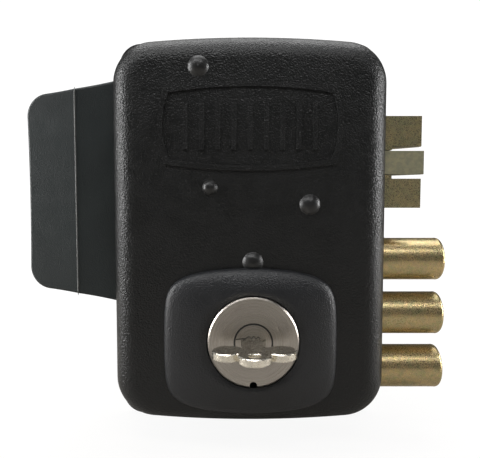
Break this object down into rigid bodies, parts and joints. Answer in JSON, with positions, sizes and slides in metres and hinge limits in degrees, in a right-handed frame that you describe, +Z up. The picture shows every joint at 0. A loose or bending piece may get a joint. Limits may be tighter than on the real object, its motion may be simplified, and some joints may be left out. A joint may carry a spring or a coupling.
{
  "type": "electric gate lock",
  "caption": "Surface-mounted electric gate lock in a rounded black steel case with round dead bolts, a split sprung latch, a pull handle and a key in its cylinder.",
  "frame": {"origin": "centre of the back plate's rear face, where it lies on the gate", "axes": "+X towards the bolts, +Y into the gate, +Z up"},
  "size_m": [0.1576, 0.07, 0.155],
  "materials": {
    "cover_powder_coat": "satin leather-grain black powder coat",
    "plate_black": "black coated steel sheet",
    "post_heads": "black coated steel, spun heads",
    "escutcheon_black": "smoother satin black coat",
    "satin_nickel": "turned satin nickel",
    "key_nickel": "polished nickel with a dull grey ground",
    "yellow_zinc": "yellow passivated zinc plate",
    "grey_zinc": "clear zinc plated steel",
    "handle_nylon": "fine-grain black glass-filled nylon",
    "bright_steel": "bright steel",
    "coil_copper": "enamelled copper wire",
    "white_plastic": "natural nylon",
    "lead_red": "insulated lead",
    "grommet_rubber": "black rubber"
  },
  "bodies": {
    "case": {"base_plate": "plate_black", "front_cover": "cover_powder_coat", "cover_posts": "post_heads", "post_screws": "bright_steel", "escutcheon": "escutcheon_black", "cylinder_body": "satin_nickel", "cylinder_nut": "satin_nickel", "idler_stud": "grey_zinc", "slide_stud": "grey_zinc", "bolt_guide": "grey_zinc", "guide_screws": "bright_steel", "hinge_pin": "grey_zinc", "hinge_bracket_upper": "plate_black", "hinge_bracket_lower": "plate_black", "latch_spring": "bright_steel", "plunger_spring": "bright_steel", "handle_spring": "bright_steel", "spring_bracket": "plate_black", "solenoid_frame": "grey_zinc", "coil_bobbin": "white_plastic", "coil_winding": "coil_copper", "terminal_block": "white_plastic", "terminal_screws": "bright_steel", "coil_leads": "lead_red", "cable_grommet": "grommet_rubber"},
    "plug": {"cylinder_plug": "satin_nickel", "drive_pinion": "grey_zinc"},
    "key_piece": {"key": "key_nickel"},
    "idler": {"idler_gear": "grey_zinc"},
    "bolts": {"bolt_slide": "yellow_zinc", "bolt_bar": "yellow_zinc", "dead_bolts": "yellow_zinc"},
    "latch": {"latch_fork": "yellow_zinc", "latch_tail": "yellow_zinc", "trigger_spring": "bright_steel"},
    "trigger": {"latch_trigger": "grey_zinc"},
    "handle": {"pull_handle": "handle_nylon"},
    "release_plunger": {"plunger": "grey_zinc"},
    "catch": {"catch_lever": "grey_zinc"}
  },
  "joints": [
    {"name": "bolt_throw", "type": "slide", "parent": "case", "child": "bolts", "axis": [-1, 0, 0], "range_m": [0, 0.02199]},
    {"name": "key_turn", "type": "hinge", "parent": "case", "child": "plug", "pos_m": [0.0011, -0.0443, -0.0353], "axis": [0, 1, 0], "range_deg": [0, 360]},
    {"name": "key_withdraw", "type": "slide", "parent": "plug", "child": "key_piece", "axis": [0, -1, 0], "range_m": [0, 0.0335]},
    {"name": "idler_turn", "type": "hinge", "parent": "case", "child": "idler", "pos_m": [-0.01581, -0.0073, -0.04146], "axis": [0, 1, 0], "range_deg": [-180, 0]},
    {"name": "latch_draw", "type": "slide", "parent": "case", "child": "latch", "axis": [-1, 0, 0], "range_m": [0, 0.0112], "stiffness_N_per_m": 300, "springref_m": -0.01, "deforming": ["latch_spring"]},
    {"name": "trigger_press", "type": "slide", "parent": "latch", "child": "trigger", "axis": [-1, 0, 0], "range_m": [0, 0.005], "stiffness_N_per_m": 200, "springref_m": -0.006, "deforming": ["trigger_spring"]},
    {"name": "handle_pull", "type": "hinge", "parent": "case", "child": "handle", "pos_m": [-0.0432, -0.024, 0.018], "axis": [0, 0, 1], "range_deg": [0, 34], "deforming": ["handle_spring"]},
    {"name": "plunger_pull", "type": "slide", "parent": "case", "child": "release_plunger", "axis": [1, 0, 0], "range_m": [0, 0.004], "stiffness_N_per_m": 150, "springref_m": -0.006, "deforming": ["plunger_spring"]},
    {"name": "catch_turn", "type": "hinge", "parent": "case", "child": "catch", "pos_m": [-0.0139, -0.0093, 0.0178], "axis": [0, 1, 0], "range_deg": [0, 7]}
  ],
  "couplings": [
    {"joint": "key_turn", "follows": "bolt_throw", "rad_per_m": 285.71},
    {"joint": "idler_turn", "follows": "bolt_throw", "rad_per_m": -142.86},
    {"joint": "handle_pull", "follows": "latch_draw", "rad_per_m": 52.98},
    {"joint": "catch_turn", "follows": "plunger_pull", "rad_per_m": 30.21}
  ]
}
